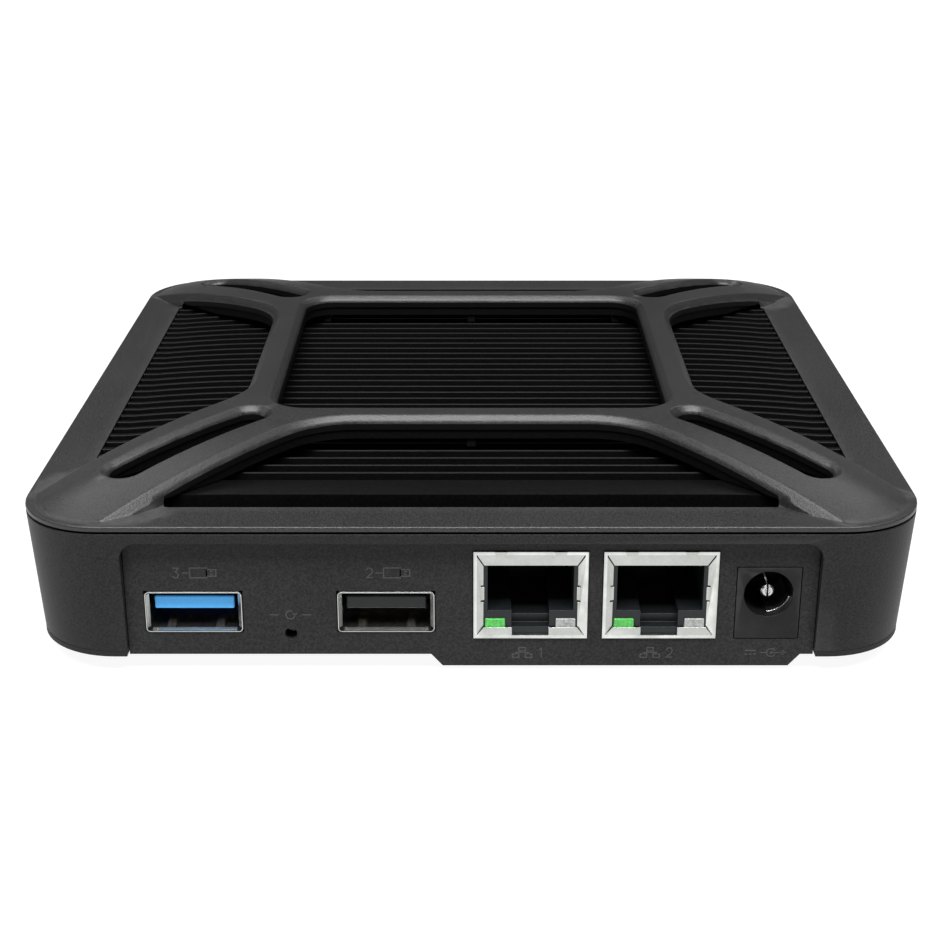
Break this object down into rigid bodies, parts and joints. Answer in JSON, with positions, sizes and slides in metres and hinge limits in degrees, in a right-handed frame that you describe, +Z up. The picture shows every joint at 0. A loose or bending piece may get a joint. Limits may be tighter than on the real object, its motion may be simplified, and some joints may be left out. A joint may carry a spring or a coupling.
{
  "type": "firewall appliance",
  "caption": "Compact square desktop firewall appliance with a finned heat sink under an X-shaped cover frame, two network sockets, two USB sockets, a reset pinhole and a power inlet.",
  "frame": {"origin": "on the table, under the middle of the case", "axes": "+Z up, the socket panel faces -Y, +X to the right of someone who faces the sockets"},
  "size_m": [0.1254, 0.1254, 0.0285],
  "materials": {
    "cover_plastic": "fine-grained matte, dark grey",
    "case_plastic": "fine-grained matte, dark grey",
    "base_plastic": "fine-grained matte, near black",
    "panel_plastic": "matte, near black, small printed marks",
    "black_anodised": "black, fine-grained casting",
    "rubber": "matte black",
    "steel": "zinc plated",
    "board_green": "green solder mask",
    "nickel_shell": "bright nickel plate",
    "nickel_shield": "bright tin plate",
    "gold_contact": "gold plate",
    "blue_plastic": "satin blue",
    "black_plastic": "satin black",
    "white_plastic": "natural white",
    "green_lens": "translucent green",
    "clear_lens": "translucent white",
    "chip_black": "moulded epoxy",
    "pad_grey": "soft grey pad",
    "ferrite": "pressed ferrite",
    "holder_plastic": "natural nylon"
  },
  "bodies": {
    "case": {"top_cover": "cover_plastic", "heat_sink": "black_anodised", "case_tub": "case_plastic", "bottom_cover": "base_plastic", "socket_panel": "panel_plastic", "rubber_feet": "rubber", "case_screws": "steel", "main_board": "board_green", "board_screws": "steel", "usb3_shell": "nickel_shell", "usb3_tongue": "blue_plastic", "usb3_contacts": "gold_contact", "usb2_shell": "nickel_shell", "usb2_tongue": "black_plastic", "usb2_contacts": "gold_contact", "lan1_shield": "nickel_shield", "lan1_housing": "black_plastic", "lan1_contacts": "gold_contact", "lan1_green_light_pipe": "green_lens", "lan1_clear_light_pipe": "clear_lens", "lan2_shield": "nickel_shield", "lan2_housing": "black_plastic", "lan2_contacts": "gold_contact", "lan2_green_light_pipe": "green_lens", "lan2_clear_light_pipe": "clear_lens", "dc_jack_housing": "black_plastic", "dc_jack_pin": "nickel_shell", "dc_jack_spring": "nickel_shell", "reset_switch_body": "black_plastic", "processor": "chip_black", "thermal_pad": "pad_grey", "memory_chips": "chip_black", "flash_chip": "chip_black", "lan_controllers": "chip_black", "lan_transformers": "chip_black", "power_coils": "ferrite", "can_capacitors": "nickel_shell", "crystals": "nickel_shell", "battery_holder": "holder_plastic", "clock_battery": "nickel_shell", "status_lights": "clear_lens", "status_light_pipe": "clear_lens"},
    "reset_button": {"reset_plunger": "white_plastic"}
  },
  "joints": [
    {"name": "reset_press", "type": "slide", "parent": "case", "child": "reset_button", "axis": [0, 1, 0], "range_m": [0, 0.00025], "stiffness_N_per_m": 200}
  ]
}
